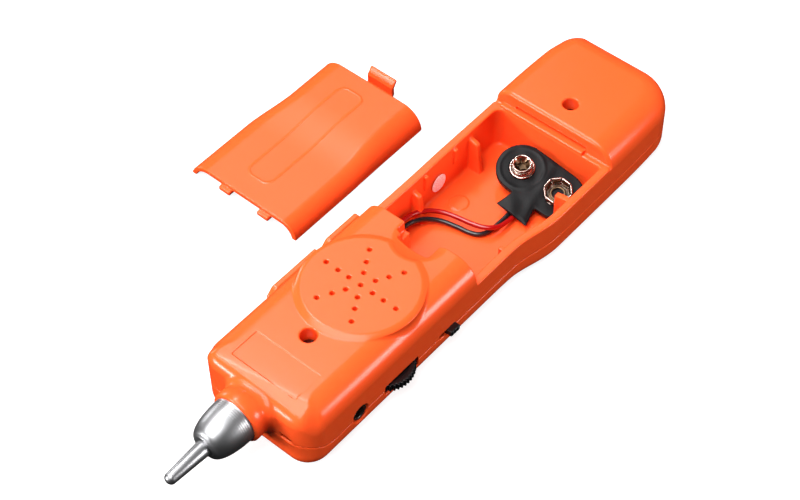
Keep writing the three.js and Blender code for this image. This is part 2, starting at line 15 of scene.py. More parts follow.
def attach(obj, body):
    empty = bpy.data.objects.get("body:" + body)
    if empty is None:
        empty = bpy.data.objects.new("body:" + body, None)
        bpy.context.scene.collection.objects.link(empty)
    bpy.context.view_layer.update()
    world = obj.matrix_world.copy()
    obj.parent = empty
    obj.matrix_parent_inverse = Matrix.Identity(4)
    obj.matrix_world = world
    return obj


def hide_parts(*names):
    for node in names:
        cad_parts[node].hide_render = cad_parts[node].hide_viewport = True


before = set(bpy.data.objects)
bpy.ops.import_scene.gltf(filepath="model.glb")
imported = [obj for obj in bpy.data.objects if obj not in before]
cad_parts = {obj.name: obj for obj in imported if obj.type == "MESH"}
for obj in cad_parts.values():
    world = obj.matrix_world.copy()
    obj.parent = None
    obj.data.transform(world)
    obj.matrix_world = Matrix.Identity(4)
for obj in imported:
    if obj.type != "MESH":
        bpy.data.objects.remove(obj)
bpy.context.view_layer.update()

# ------------------------------------------------------------------ driving dimensions, in mm
# The case: its ends along Y, its wall, and the join line between its halves at the nose and behind it.
FRONT, BUTT = -66.0, 92.0
WALL = 2.0
SEAM_NOSE, SEAM = 11.4, 8.2
# The battery bay: its ends and side walls, and where the closed rooms on both sides of it stop.
BAY_START, BAY_END, BAY_SIDE = 0.5, 54.8, 2.5
HEAD_ROOM_END, BUTT_ROOM_START = -1.8, 58.8
# The battery cover: its butt end, the height of its rim, the play round it, its tabs and where it lies.
COVER_END, RIM, GAP = 56.5, 16.1, 0.3
COVER_TABS = (-7.8, 7.0)
COVER_REST = (-56.6, 45.6)
# The nose's axis, the grille disc and its holes, the fingertip dish beside the bay, and the label panel.
NOSE_X, NOSE_Z = -0.3, 16.3
DISC_Y, DISC_RADIUS, DISC_TOP, DISC_ROOT = -24.0, 16.5, 24.4, 20.0
DISH, DISH_RADIUS = (1.6, -1.5, 33.6), 12.5
HOLE_RINGS, HOLE_RADIUS = (4.09, 7.81, 12.0), 0.68
LABEL_LOW, LABEL_HIGH, LABEL_DEPTH = (-11, -61, 10), (10.8, -51.7, 40), 0.17
# Case screws as x, y and the height their heads sit at.
SCREWS = {"case_screw_head": (0.0, -44.2, 17.8), "case_screw_butt": (1.2, 64.3, 16.6)}
WELL_RADIUS, BOSS_RADIUS = 2.35, 3.8
# Earphone socket and switch as y, z; thumbwheel as x, y, z; lamp slot and lead exit as x, z. Openings in the
# right wall start at the X of OPENING.
OPENING = 15.2
JACK = (-46.4, 8.7)
SWITCH = (-10.3, 8.4)
WHEEL, WHEEL_RADIUS, WHEEL_TEETH = (13.7, -30.3, 8.0), 7.75, 44
LAMP = (11.3, 12.2)
LEAD_EXIT, LEAD_EXIT_RADIUS = (-13.4, 6.4), 2.3
STICKER = (-16.42, 27.6, 7.2)
# The battery snap: its place, its tilt in degrees, and half the distance between its terminals.
SNAP_PLACE = (5.2, 46.1, 7.8)
SNAP_TILT = (13.0, 8.0, -2.0)
SNAP_HALF = 6.475
# The leads, from inside the head's wall to under the snap's tail.
LEAD_RADIUS = 0.7
LEAD_RED = [
    (-13.6, 1, 7.4), (-14.1, 4, 7.7), (-14.7, 7.4, 7.8), (-15, 10.6, 7.5), (-15, 13.6, 6.9),
    (-14.2, 16.6, 6.2), (-12.5, 19.3, 5.6), (-9.8, 21.4, 5.1), (-5.9, 22.6, 4.9), (-1.7, 23.4, 4.8),
    (1.7, 24.3, 4.9), (4, 25.9, 4.8), (5.2, 28.4, 4.2), (5.5, 32.4, 3.6),
    (5.5, 35.6, 3.5), (5.4, 38.4, 4.1),
]
LEAD_BLACK = [
    (-13, 1, 5.7), (-13.6, 4, 5.9), (-14.2, 7.4, 6), (-14.3, 10.6, 5.6), (-14, 13.2, 5.1),
    (-12.8, 16, 4.6), (-11.2, 18, 4.1), (-8.4, 19.8, 3.6), (-4.5, 21, 3.2), (-0.9, 21.7, 3),
    (1.7, 22.8, 3), (3.2, 25, 3), (3.6, 28, 3), (3.8, 32.4, 3.2),
    (3.7, 35.6, 3.3), (3.6, 38.4, 3.9),
]
# The camera: azimuth, elevation and roll in degrees, what it looks at and from how far, and its lens.
VIEW_ANGLES = (41.24, 50.726, -0.991)
VIEW_TARGET = (0.24, -8.62, 24.4)
VIEW_DISTANCE = 497.19
LENS, SENSOR = 85.17, 36.0
LIGHTS = {
    "key": ((-0.1, -0.36, 0.93), (0.8, 0.6), 16),
    "overhead": ((-0.44, 0.1, 0.89), (0.35, 0.05), 4),
    "sheen": ((-0.5, 0.4, 0.77), (0.45, 0.3), 1.2),
    "right_back": ((0.86, 0.46, 0.2), (0.25, 0.28), 4.6),
    "front_left": ((-0.4, -0.88, 0.2), (0.28, 0.12), 7),
    "left": ((-0.97, 0.1, 0.15), (0.3, 0.25), 1.5),
}
LIGHT_TARGET = (-10.0, 0.0, 12.0)
LIGHT_DISTANCE = 900.0
# A field value far outside everything.
FAR = 1000.0


# ------------------------------------------------------------------ camera
def add_camera():
    azimuth, elevation, roll = (math.radians(angle) for angle in VIEW_ANGLES)
    target = Vector(VIEW_TARGET) / 1000
    back = Vector((
        math.sin(azimuth) * math.cos(elevation),
        -math.cos(azimuth) * math.cos(elevation),
        math.sin(elevation),
    ))
    right = Vector((math.cos(azimuth), math.sin(azimuth), 0))
    up = back.cross(right)
    right, up = (
        right * math.cos(roll) + up * math.sin(roll),
        up * math.cos(roll) - right * math.sin(roll),
    )
    data = bpy.data.cameras.new("camera")
    data.lens, data.sensor_width = LENS, SENSOR
    data.clip_start, data.clip_end = 0.01, 20
    camera = bpy.data.objects.new("camera", data)
    place = Matrix.Translation(target + back * VIEW_DISTANCE / 1000)
    camera.matrix_world = place @ Matrix((right, up, back)).transposed().to_4x4()
    bpy.context.scene.collection.objects.link(camera)
    bpy.context.scene.camera = camera


# ------------------------------------------------------------------ materials
GLOSS_SPREAD = 0.02


def material(name, color, roughness, metallic=0.0, grain=None, mottle=0.0, **more):
    """A Principled material with slightly uneven gloss.

    grain is a fine bump, as scale per metre and depth in metres; mottle is how much the colour varies.
    """
    made = bpy.data.materials.new(name)
    made.use_nodes = True
    nodes, links = made.node_tree.nodes, made.node_tree.links
    shader = nodes["Principled BSDF"]
    shader.inputs["Base Color"].default_value = (*color, 1)
    shader.inputs["Roughness"].default_value = roughness
    shader.inputs["Metallic"].default_value = metallic
    for key, value in more.items():
        shader.inputs[key.replace("_", " ")].default_value = value
    place = nodes.new("ShaderNodeTexCoord")
    cloud = nodes.new("ShaderNodeTexNoise")
    cloud.inputs["Scale"].default_value = 60
    cloud.inputs["Detail"].default_value = 4
    links.new(place.outputs["Object"], cloud.inputs["Vector"])
    gloss = nodes.new("ShaderNodeMapRange")
    gloss.inputs["To Min"].default_value = max(0.0, roughness - GLOSS_SPREAD)
    gloss.inputs["To Max"].default_value = roughness + GLOSS_SPREAD
    links.new(cloud.outputs["Fac"], gloss.inputs["Value"])
    links.new(gloss.outputs["Result"], shader.inputs["Roughness"])
    if mottle:
        blend = nodes.new("ShaderNodeMixRGB")
        blend.inputs["Color1"].default_value = (*(c * (1 - mottle) for c in color), 1)
        blend.inputs["Color2"].default_value = (*(min(1, c * (1 + mottle)) for c in color), 1)
        links.new(cloud.outputs["Fac"], blend.inputs["Fac"])
        links.new(blend.outputs["Color"], shader.inputs["Base Color"])
    if grain:
        scale, depth = grain
        fine = nodes.new("ShaderNodeTexNoise")
        fine.inputs["Scale"].default_value = scale
        fine.inputs["Detail"].default_value = 2
        links.new(place.outputs["Object"], fine.inputs["Vector"])
        bump = nodes.new("ShaderNodeBump")
        bump.inputs["Distance"].default_value = depth
        bump.inputs["Strength"].default_value = 1
        links.new(fine.outputs["Fac"], bump.inputs["Height"])
        links.new(bump.outputs["Normal"], shader.inputs["Normal"])
    return made


def turned_metal(name, color, roughness, pitch, depth):
    """Bare metal with fine rings about the probe's axis, as a lathe leaves them."""
    made = material(name, color, roughness, 1.0, mottle=0.06)
    nodes, links = made.node_tree.nodes, made.node_tree.links
    place = nodes.new("ShaderNodeTexCoord")
    stretch = nodes.new("ShaderNodeMapping")
    stretch.inputs["Scale"].default_value = (25, pitch, 25)
    rings = nodes.new("ShaderNodeTexNoise")
    rings.inputs["Scale"].default_value = 1
    rings.inputs["Detail"].default_value = 3
    bump = nodes.new("ShaderNodeBump")
    bump.inputs["Distance"].default_value = depth
    links.new(place.outputs["Object"], stretch.inputs["Vector"])
    links.new(stretch.outputs["Vector"], rings.inputs["Vector"])
    links.new(rings.outputs["Fac"], bump.inputs["Height"])
    links.new(bump.outputs["Normal"], nodes["Principled BSDF"].inputs["Normal"])
    return made


def sticker_paper():
    """White coated paper with a faint pink net printed on it."""
    paper, ink_color = (0.97, 0.95, 0.94), (0.9, 0.66, 0.68)
    made = material("sticker_paper", paper, 0.5)
    nodes, links = made.node_tree.nodes, made.node_tree.links
    place = nodes.new("ShaderNodeTexCoord")
    cells = nodes.new("ShaderNodeTexVoronoi")
    cells.feature = "DISTANCE_TO_EDGE"
    cells.inputs["Scale"].default_value = 1300
    ink = nodes.new("ShaderNodeValToRGB")
    ink.color_ramp.elements[0].position = 0.1
    ink.color_ramp.elements[0].color = (*ink_color, 1)
    ink.color_ramp.elements[1].position = 0.22
    ink.color_ramp.elements[1].color = (*paper, 1)
    links.new(place.outputs["Object"], cells.inputs["Vector"])
    links.new(cells.outputs["Distance"], ink.inputs["Fac"])
    links.new(ink.outputs["Color"], nodes["Principled BSDF"].inputs["Base Color"])
    return made


ORANGE = material(
    "case_plastic", (0.93, 0.09, 0.018), 0.22, grain=(3600, 0.00001), mottle=0.02, Specular_IOR_Level=0.22,
    Subsurface_Weight=0.1, Subsurface_Radius=(1.0, 0.3, 0.08), Subsurface_Scale=0.0012,
)
# A darker brown metal for the insides of the snap terminals' cups.
CUP_INSIDE_BROWN = material("cup_inside_brown", (0.16, 0.1, 0.06), 0.3, 1.0, grain=(1500, 0.00003), mottle=0.3)
BLACK_PLASTIC = material("black_plastic", (0.004, 0.004, 0.005), 0.38, grain=(2500, 0.00002))
SOFT_VINYL = material(
    "soft_vinyl", (0.003, 0.0028, 0.0034), 0.46, grain=(1500, 0.00002), mottle=0.3, Specular_IOR_Level=0.14,
)
ALUMINIUM = turned_metal("aluminium", (0.36, 0.36, 0.37), 0.4, 2600, 0.00002)
NICKEL = material("nickel_plate", (0.5, 0.42, 0.37), 0.2, 1.0, mottle=0.08)
STEEL = material("steel", (0.56, 0.56, 0.57), 0.3, 1.0, grain=(900, 0.00001), mottle=0.1)
# Painted shade: the case screws' steel is darkened to stand in for the shade at the bottom of their wells.
SCREW_STEEL_PAINTED_SHADE = material("screw_steel_painted_shade", (0.13, 0.13, 0.14), 0.25, 1.0, grain=(900, 0.00001), mottle=0.2)
BRASS = material("brass", (0.72, 0.52, 0.2), 0.3, 1.0, mottle=0.1)
RED_SHEATH = material("red_vinyl", (0.3, 0.003, 0.003), 0.24, grain=(700, 0.00001), mottle=0.06)
BLACK_SHEATH = material("black_vinyl", (0.01, 0.01, 0.012), 0.24, grain=(700, 0.00001), mottle=0.06)
LAMINATE = material("circuit_laminate", (0.03, 0.2, 0.06), 0.35, grain=(1200, 0.00002), mottle=0.15)
PULP = material("speaker_paper", (0.03, 0.03, 0.032), 0.8, grain=(1600, 0.00008), mottle=0.2)
FERRITE = material("ferrite", (0.05, 0.05, 0.052), 0.6, grain=(900, 0.00004), mottle=0.15)
LACQUER = material("resistor_body", (0.62, 0.44, 0.24), 0.4, mottle=0.08)
# The lamp's own dark red epoxy, darkened further as painted shade so its slot reads as a shaded recess.
EPOXY = material("lamp_epoxy", (0.08, 0.006, 0.004), 0.25, mottle=0.04, Transmission_Weight=0.2)
PAPER = sticker_paper()
CAD_FINISHES = {
    "probe_bush": BLACK_PLASTIC, "probe_contact_wire": BRASS, "speaker_frame": STEEL, "speaker_cone": PULP,
    "speaker_magnet": FERRITE, "circuit_board": LAMINATE, "board_screw_1": STEEL, "board_screw_2": STEEL,
    "amplifier_chip": BLACK_PLASTIC, "capacitor_large": BLACK_PLASTIC, "capacitor_small": BLACK_PLASTIC,
    "transistor": BLACK_PLASTIC, "trim_inductor": FERRITE, "resistor_1": LACQUER, "resistor_2": LACQUER,
    "resistor_3": LACQUER, "resistor_4": LACQUER, "volume_control_body": BLACK_PLASTIC,
    "power_switch_body": STEEL, "earphone_jack_body": BLACK_PLASTIC, "indicator_lamp": EPOXY,
}


# ------------------------------------------------------------------ solid fields: negative inside, in mm
def common(a, b, r):
    """Where both a and b are solid, with their shared edge rounded to radius r."""
    return np.minimum(np.maximum(a, b), -r) + np.hypot(np.maximum(a + r, 0), np.maximum(b + r, 0))


def join(a, b, r):
    """Either a or b, with a fillet of radius r where they meet."""
    return -common(-a, -b, r)


def cut(a, b, r):
    """a without b, with the edge of the cut rounded to radius r."""
    return common(a, -b, r)


def block(x, y, z, low, high, r):
    """A box with edges rounded to r."""
    parts = [
        np.abs(v - (a + b) / 2) - ((b - a) / 2 - r) for v, a, b in zip((x, y, z), low, high)
    ]
    outside = np.sqrt(sum(np.maximum(p, 0) ** 2 for p in parts))
    return outside + np.minimum(np.maximum(np.maximum(parts[0], parts[1]), parts[2]), 0) - r


def segment_gap(u, v, a, b):
    """The distance in a plane from (u, v) to the line from a to b."""
    du, dv = b[0] - a[0], b[1] - a[1]
    t = np.clip(((u - a[0]) * du + (v - a[1]) * dv) / (du * du + dv * dv), 0, 1)
    return np.hypot(u - a[0] - t * du, v - a[1] - t * dv)


def mix(a, b, t):
    """From a, where t is 0, to b, where t is 1."""
    return a + (b - a) * t


def ramp(v, a, b):
    """A smooth step from 0 at v = a to 1 at v = b."""
    t = np.clip((v - a) / (b - a), 0, 1)
    return t * t * (3 - 2 * t)


def left_side(y):
    """The X of the case's left wall: nearly straight, drawn in at the butt."""
    return -mix(19.2, 19.4, ramp(y, 16, 34)) + 1.4 * np.clip((y - 64) / 28, 0, 1) ** 2


def right_side(y):
    """The X of the case's right wall: it swells at the grip."""
    return mix(19.2, 21.8, ramp(y, 16, 34)) - 1.4 * np.clip((y - 64) / 28, 0, 1) ** 2


def top_height(x, y):
    """The top's height along the case: it steps down to the grip and slopes gently at the brow."""
    past = -62.0 + 0.15 * x - y
    return mix(23.4, 21.9, ramp(y, 16, 34)) - 0.22 * (past + np.sqrt(past**2 + 0.25))


def case_form(x, y, z):
    """The closed case without its disc, collar or bay, as one smooth solid.

    The long top edges have a radius of their own on each side, which changes at the brow and the butt.
    """
    front, butt = FRONT - y, y - BUTT
    left, right = left_side(y) - x, x - right_side(y)
    near_front = ramp(-y, 53, 62)
    front_left = near_front * ramp(front - left, -4, 3)
    front_right = near_front * ramp(front - right, -4, 3)
    left = np.maximum(common(left, front, 7.0), common(left, butt, 7.0))
    right = np.maximum(common(right, front, 7.0), common(right, butt, 12.0))
    top = z - top_height(x, y)
    near_butt = ramp(y, 78, 88)
    edge_left = mix(mix(mix(7.0, 5.6, ramp(y, 10, 30)), 2.6, front_left), 7.5, near_butt)
    edge_right = mix(mix(mix(7.0, 7.4, ramp(y, 10, 30)), 2.6, front_right), 8.0, near_butt)
    under = mix(6.5, 4.6, ramp(y, 10, 30))
    sides = np.maximum(common(left, top, edge_left), common(right, top, edge_right))
    return np.maximum(sides, np.maximum(common(left, -z, under), common(right, -z, under)))


def outer_form(x, y, z):
    """The case with the collar that holds the probe, and the fine groove of the seam."""
    from_axis = np.hypot(x - NOSE_X, z - NOSE_Z)
    above = np.clip((z - NOSE_Z) / np.maximum(from_axis, 1), 0, 1) ** 2
    bulb = from_axis - 7.6 + mix(0.03, 0.115, above) * (y + 70.2) ** 2
    collar = common(bulb, -71.7 - y, 0.6)
    form = join(case_form(x, y, z), collar, 2.8)
    return form + 0.1 * np.exp(-(((z - seam_height(y)) / 0.25) ** 2))


def seam_height(y):
    """The height of the join between the two case halves."""
    return mix(SEAM_NOSE, SEAM, ramp(y, FRONT, FRONT + 10))


def bay_space(x, y, z):
    """The room for the battery, with a shallow round mark in its floor."""
    ends = np.maximum(BAY_START - y, y - BAY_END)
    left = common(left_side(y) + BAY_SIDE - x, ends, 1.2)
    left = np.maximum(left, common(left_side(y) + BAY_SIDE - x, y - BAY_END, 2.6))
    right = common(x - right_side(y) + BAY_SIDE, ends, 1.2)
    ejector_mark = 0.2 * (1 - ramp(np.hypot(x + 10.2, y - 29), 2.6, 3.0))
    return common(np.maximum(left, right), WALL + ejector_mark - z, 1.0)


def notch_space(x, y, z):
    """The notch in the head's wall that the cover's latch springs into."""
    deep = block(x, y, z, (-4.0, -4.7, 8.0), (6.4, 3, 40), 0.35)
    ledge = block(x, y, z, (-5.7, -3.0, 20.0), (6.4, 3, 40), 0.3)
    return np.minimum(deep, ledge)


def cover_space(x, y, z):
    """The room that the closed cover fills."""
    ends = np.maximum(BAY_START - y, y - COVER_END)
    return common(ends, RIM - z, 0.4)


def left_ribs(x, y, z):
    """Two tall tapered fins and two short stubs on the bay's left wall."""
    wall = left_side(y)
    solid = FAR
    for at, top, reach in ((42.1, 14.4, 4.4), (17.1, 13.4, 3.6)):
        inner = wall + BAY_SIDE + reach - 0.117 * (z - 2)
        fin = common(np.abs(y - at) - 0.9 - 0.015 * (14 - z), x - inner, 0.6)
        fin = common(fin, z - top + 0.315 * (x - inner + reach), 0.7)
        solid = join(solid, np.maximum(fin, wall + 1.0 - x), 0.5)
    for at in (35.0, 22.0):
        inner = wall + BAY_SIDE + 0.9
        stub = common(np.abs(y - at) - 0.7, x - inner, 0.35)
        stub = common(stub, z - 15.0, 0.4)
        stub = np.maximum(stub, wall + 1.0 - x)
        solid = np.minimum(solid, np.maximum(stub, 10.2 - z - (inner - x)))
    return solid


def right_ribs(x, y, z):
    """A gusset and a small fin on the bay's right wall."""
    wall = right_side(y)
    inner = wall - 7.0
    gusset = common(np.abs(y - 40.6) - 0.9, inner - x, 0.3)
    gusset = common(gusset, z - 15.0 + 0.15 * (inner + 4 - x), 0.3)
    small = common(np.abs(y - 15.2) - 0.8, wall - 4.2 - x, 0.3)
    small = common(small, z - 15.2, 0.3)
    return np.maximum(np.minimum(gusset, small), x - wall + 1.0)


def rails(x, y, z):
    """The two-lip rail along the head's left side."""
    solid = FAR
    for start, end in ((-36.6, -17.2), (-15.2, -0.8)):
        lip = block(x, y, z, (-22.8, start, 10.4), (-20.9, end, 15.4), 0.5)
        lip = common(lip, z - 15.2 + 0.9 * (start + 2.2 - y), 0.5)
        web = block(x, y, z, (-22.8, start, 10.4), (-18.0, end, 11.7), 0.4)
        solid = np.minimum(solid, join(lip, web, 0.5))
    return solid


def wheel_opening(x, y, z):
    around = np.hypot(x - WHEEL[0], y - WHEEL[1]) - WHEEL_RADIUS - 0.65
    return np.maximum(np.maximum(around, np.abs(z - WHEEL[2]) - 1.6), OPENING - x)


def lamp_opening(x, y, z):
    """The slot beside the nose, with the wall thinned behind it."""
    lx, lz = LAMP
    slot = block(x, y, z, (lx - 1.7, -75, lz - 0.9), (lx + 1.7, -60, lz + 0.9), 0.5)
    behind = block(x, y, z, (lx - 2.2, -65.2, lz - 2.2), (lx + 2.2, -60, lz + 2.0), 0.5)
    return np.minimum(slot, behind)


def side_openings(x, y, z):
    """The thumbwheel slot, the switch slot, the earphone hole and the lamp slot."""
    sy, sz = SWITCH
    switch = block(x, y, z, (OPENING, sy - 4.6, sz - 0.85), (30, sy + 1.4, sz + 0.85), 0.3)
    jack = np.maximum(np.hypot(y - JACK[0], z - JACK[1]) - 2.85, OPENING - x)
    wheel, lamp = wheel_opening(x, y, z), lamp_opening(x, y, z)
    return np.minimum(np.minimum(wheel, switch), np.minimum(jack, lamp))


def grille_holes(x, y):
    """The sound holes: one at the disc's centre and three rings of six."""
    nearest = np.hypot(x, y - DISC_Y)
    for radius, step in itertools.product(HOLE_RINGS, range(6)):
        angle = step * math.pi / 3
        px, py = radius * math.cos(angle), radius * math.sin(angle)
        nearest = np.minimum(nearest, np.hypot(x - px, y - DISC_Y - py))
    return nearest - HOLE_RADIUS


def screw_axes(x, y, radius):
    """Upright cylinders on the two case screws' axes."""
    return np.minimum(*(np.hypot(x - sx, y - sy) - radius for sx, sy, _ in SCREWS.values()))


def screw_wells(x, y, z):
    wells = [
        np.maximum(np.hypot(x - sx, y - sy) - WELL_RADIUS, seat - z) for sx, sy, seat in SCREWS.values()
    ]
    return np.minimum(*wells)


def hollow(x, y, z):
    """The closed rooms in the head and in the butt."""
    between = common(HEAD_ROOM_END - y, y - BUTT_ROOM_START, 0.5)
    return np.maximum(case_form(x, y, z) + WALL, -between)


def rear_outside(x, y, z):
    """The rear case as one solid down to the seam, with its disc, finger dish and label panel."""
    shoulder = 0.9 * np.clip(DISC_TOP - z, 0, 0.8)
    disc = common(np.hypot(x, y - DISC_Y) - DISC_RADIUS - shoulder, z - DISC_TOP, 0.9)
    solid = join(outer_form(x, y, z), np.maximum(disc, DISC_ROOT - z), 0.8)
    dish = np.sqrt((x - DISH[0]) ** 2 + (y - DISH[1]) ** 2 + (z - DISH[2]) ** 2) - DISH_RADIUS
    solid = cut(solid, dish, 0.5)
    label = block(x, y, z, LABEL_LOW, LABEL_HIGH, 0.2)
    label = np.maximum(label, top_height(x, y) - LABEL_DEPTH - z)
    solid = cut(solid, label, 0.12)
    return np.maximum(solid, seam_height(y) - z)


def rear_walls(x, y, z):
    """The same solid hollowed out, with screw bosses, the latch's pocket and the bay's tub."""
    pocket = block(x, y, z, (-7.4, -6.0, 6.8), (7.6, 1, 22.6), 0.8)
    pocket = np.maximum(pocket, outer_form(x, y, z) + 0.5)
    room = np.maximum(hollow(x, y, z), -screw_axes(x, y, BOSS_RADIUS))
    room = np.maximum(room, -pocket)
    solid = np.maximum(rear_outside(x, y, z), -room)
    tub = np.maximum(bay_space(x, y, z) - 1.0, z - 10)
    return np.minimum(solid, np.minimum(tub, np.maximum(pocket, z - 12)))


def open_bay(solid, x, y, z):
    """The solid with the battery bay opened in it, and its ribs, end ledge, step and slot."""
    bay = bay_space(x, y, z)
    crest = mix(0.35, 1.2, ramp(y, 55.3, 56.5))
    solid = cut(solid, cover_space(x, y, z), crest)
    ledge = block(x, y, z, (-12.4, 54.0, 12), (12.6, 58, 17.1), 0.2)
    solid = np.minimum(solid, np.maximum(ledge, -bay))
    solid = cut(solid, notch_space(x, y, z), 0.4)
    solid = cut(solid, bay, 0.4)
    step = block(x, y, z, (-16.6, 54.85, 14), (-12.3, 57.5, 17.2), 0.25)
    solid = np.minimum(solid, step)
    ribs = np.minimum(left_ribs(x, y, z), right_ribs(x, y, z))
    solid = join(solid, np.maximum(ribs, bay - 0.8), 0.35)
    slot = block(x, y, z, (-12.0, 54.0, 17.1), (12.5, 58.2, 18.1), 0.1)
    return cut(solid, slot, 0.12)


def rear_case(x, y, z):
    """The shell with the grille and the battery bay."""
    solid = join(rear_walls(x, y, z), rails(x, y, z), 0.3)
    solid = open_bay(solid, x, y, z)
    solid = cut(solid, side_openings(x, y, z), 0.3)
    solid = cut(solid, np.maximum(grille_holes(x, y), DISC_ROOT - z), 0.15)
    lead_exit = np.hypot(x - LEAD_EXIT[0], z - LEAD_EXIT[1]) - LEAD_EXIT_RADIUS
    solid = np.maximum(solid, -np.maximum(lead_exit, np.abs(y + 0.5) - 2.2))
    return cut(solid, screw_wells(x, y, z), 0.35)


def front_case(x, y, z):
    solid = np.maximum(outer_form(x, y, z), z - seam_height(y))
    solid = np.maximum(solid, -hollow(x, y, z))
    solid = np.maximum(solid, -(bay_space(x, y, z) - 1.15))
    return cut(solid, side_openings(x, y, z), 0.3)


def battery_cover(x, y, z):
    """The cover where it sits when it is closed, with a raised outline on it and a notch for its latch."""
    start, end = BAY_START + GAP, COVER_END - GAP
    form = case_form(x, y, z)
    panel = np.hypot(np.maximum(np.abs(x - 1.9) - 1.6, 0), np.maximum(np.abs(y - 28.1) - 18.2, 0)) - 2.8
    outline = 0.1 * np.exp(-((panel / 0.3) ** 2))
    skin = np.maximum(form + 0.15 - outline, -(form + 1.75))
    ends = np.maximum(start - y, y - end)
    wall = np.maximum(np.maximum(form + 0.6, y - start - 1.6), 18.6 - z)
    solid = common(np.minimum(skin, wall), ends, 0.35)
    solid = common(solid, RIM + GAP - z, 0.35)
    for tab in COVER_TABS:
        tongue = block(x, y, z, (tab - 2.1, end - 1.6, 19.0), (tab + 2.1, end + 1.35, 20.4), 0.4)
        solid = join(solid, tongue, 0.3)
    notch = block(x, y, z, (-4.8, start - 2, 10), (5.6, start + 1.5, 21.2), 0.3)
    return cut(solid, notch, 0.2)


def cover_latch(x, y, z):
    """A sprung U with a finger lip, where it sits when the cover is closed."""
    end = BAY_START + GAP
    path = [
        (end + 0.6, 19.8), (end + 0.3, 18.2), (end - 1, 17.2), (end - 3, 17.2),
        (end - 4, 18.4), (end - 4, 21.0), (end - 5.3, 22.9),
    ]
    away = FAR
    for a, b in zip(path, path[1:]):
        away = np.minimum(away, segment_gap(y, z, a, b))
    thickness = mix(0.58, 0.5, ramp(z, 21, 23))
    return common(away - thickness, np.abs(x - 0.4) - 4.9, 0.35)


# ------------------------------------------------------------------ fields to meshes
CORNERS = list(itertools.product((0, 1), repeat=3))


def spaced(*runs):
    """Grid lines from runs of (start, end, step)."""
    lines = [np.linspace(a, b, max(1, round((b - a) / step)), endpoint=False) for a, b, step in runs]
    return np.concatenate(lines + [[runs[-1][1]]])


def slope(field, points, reach=0.03):
    """The field's gradient at points."""
    result = np.empty_like(points)
    for axis in range(3):
        shift = np.zeros(3)
        shift[axis] = reach
        ahead, behind = field(*(points + shift).T), field(*(points - shift).T)
        result[:, axis] = (ahead - behind) / (2 * reach)
    return result


def edge_mean(at):
    """The mean place where a cell's edges cross 0, as shares of the cell. at holds its corners' values."""
    total, hits = np.zeros((len(at[0]), 3)), np.zeros(len(at[0]))
    for a, b in itertools.combinations(range(8), 2):
        step = np.array(CORNERS[b]) - CORNERS[a]
        if np.abs(step).sum() != 1:
            continue
        crossed = (at[a] < 0) != (at[b] < 0)
        share = np.where(crossed, at[a] / np.where(crossed, at[a] - at[b], 1), 0)
        total += (np.array(CORNERS[a]) + share[:, None] * step) * crossed[:, None]
        hits += crossed
    return total / hits[:, None]


def settle(field, points, size):
    """Points moved onto the surface in three steps, each of 0.3 of a grid cell at the most."""
    for _ in range(3):
        gradient = slope(field, points)
        pull = field(*points.T) / np.maximum((gradient**2).sum(1), 0.3)
        points = points - np.clip(pull[:, None] * gradient, -0.3 * size, 0.3 * size)
    return points


def quads_across(inside, number, axis):
    """A quad facing out for each grid edge along axis that is crossed. number is each cell's point."""
    shape = number.shape
    window = [slice(1, n) for n in shape]
    window[axis] = slice(0, shape[axis])
    ahead = list(window)
    ahead[axis] = slice(1, shape[axis] + 1)
    low, high = inside[tuple(window)], inside[tuple(ahead)]
    edges = np.argwhere(low != high) + 1
    edges[:, axis] -= 1
    u, v = np.eye(3, dtype=int)[[(axis + 1) % 3, (axis + 2) % 3]]
    quads = np.stack([number[tuple((edges - back).T)] for back in (u + v, v, 0 * u, u)], 1)
    inward = high[low != high]
    quads[inward] = quads[inward][:, ::-1]
    return quads


def skin_of(field, lines):
    """The surface where field is 0, as points in mm and quads, one point to each grid cell it crosses."""
    values = np.broadcast_to(field(*np.ix_(*lines)), [len(a) for a in lines]).astype(np.float32)
    inside = values < 0
    shape = [len(a) - 1 for a in lines]
    count = sum(
        inside[tuple(slice(o, o + n) for o, n in zip(corner, shape))].astype(np.int8) for corner in CORNERS
    )
    cells = np.argwhere((count > 0) & (count < 8))
    number = np.full(shape, -1, np.int64)
    number[tuple(cells.T)] = np.arange(len(cells))
    local = edge_mean([values[tuple((cells + corner).T)] for corner in CORNERS])
    size = np.stack([np.diff(a)[c] for a, c in zip(lines, cells.T)], 1)
    corner_points = np.stack([a[c] for a, c in zip(lines, cells.T)], 1)
    points = settle(field, corner_points + local * size, size)
    return points, np.concatenate([quads_across(inside, number, axis) for axis in range(3)])


def finish_piece(obj, body, finish, node):
    """Gives a piece its material and its body, and puts it in the CAD node's place."""
    obj.data.materials.clear()
    obj.data.materials.append(finish)
    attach(obj, body)
    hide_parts(node)


def mesh_piece(name, points, faces):
    """A smooth-shaded mesh object from points in mm."""
    points = np.asarray(points, float)
    mesh = bpy.data.meshes.new(name)
    mesh.from_pydata((points / 1000).tolist(), [], [list(map(int, f)) for f in faces])
    mesh.validate()
    mesh.shade_smooth()
    obj = bpy.data.objects.new(name, mesh)
    bpy.context.scene.collection.objects.link(obj)
    return obj


def field_piece(name, field, lines, place=None, keep=1.0):
    """The field's surface as an object, thinned to the share keep, shaded by the field and moved by place."""
    obj = mesh_piece(name, *skin_of(field, lines))
    if keep < 1:
        thin = obj.modifiers.new("thin", "DECIMATE")
        thin.ratio = keep
        mesh = bpy.data.meshes.new_from_object(obj.evaluated_get(bpy.context.evaluated_depsgraph_get()))
        obj.modifiers.clear()
        obj.data = mesh
        mesh.shade_smooth()
    points = np.empty(len(obj.data.vertices) * 3)
    obj.data.vertices.foreach_get("co", points)
    points = points.reshape(-1, 3) * 1000
    facing = slope(field, points)
    facing = facing / np.maximum(np.linalg.norm(facing, axis=1), 1e-6)[:, None]
    if place is not None:
        moved = place(points)
        facing = place(points + facing) - moved
        obj.data.vertices.foreach_set("co", (moved / 1000).ravel())
    obj.data.normals_split_custom_set_from_vertices(facing.tolist())
    return obj


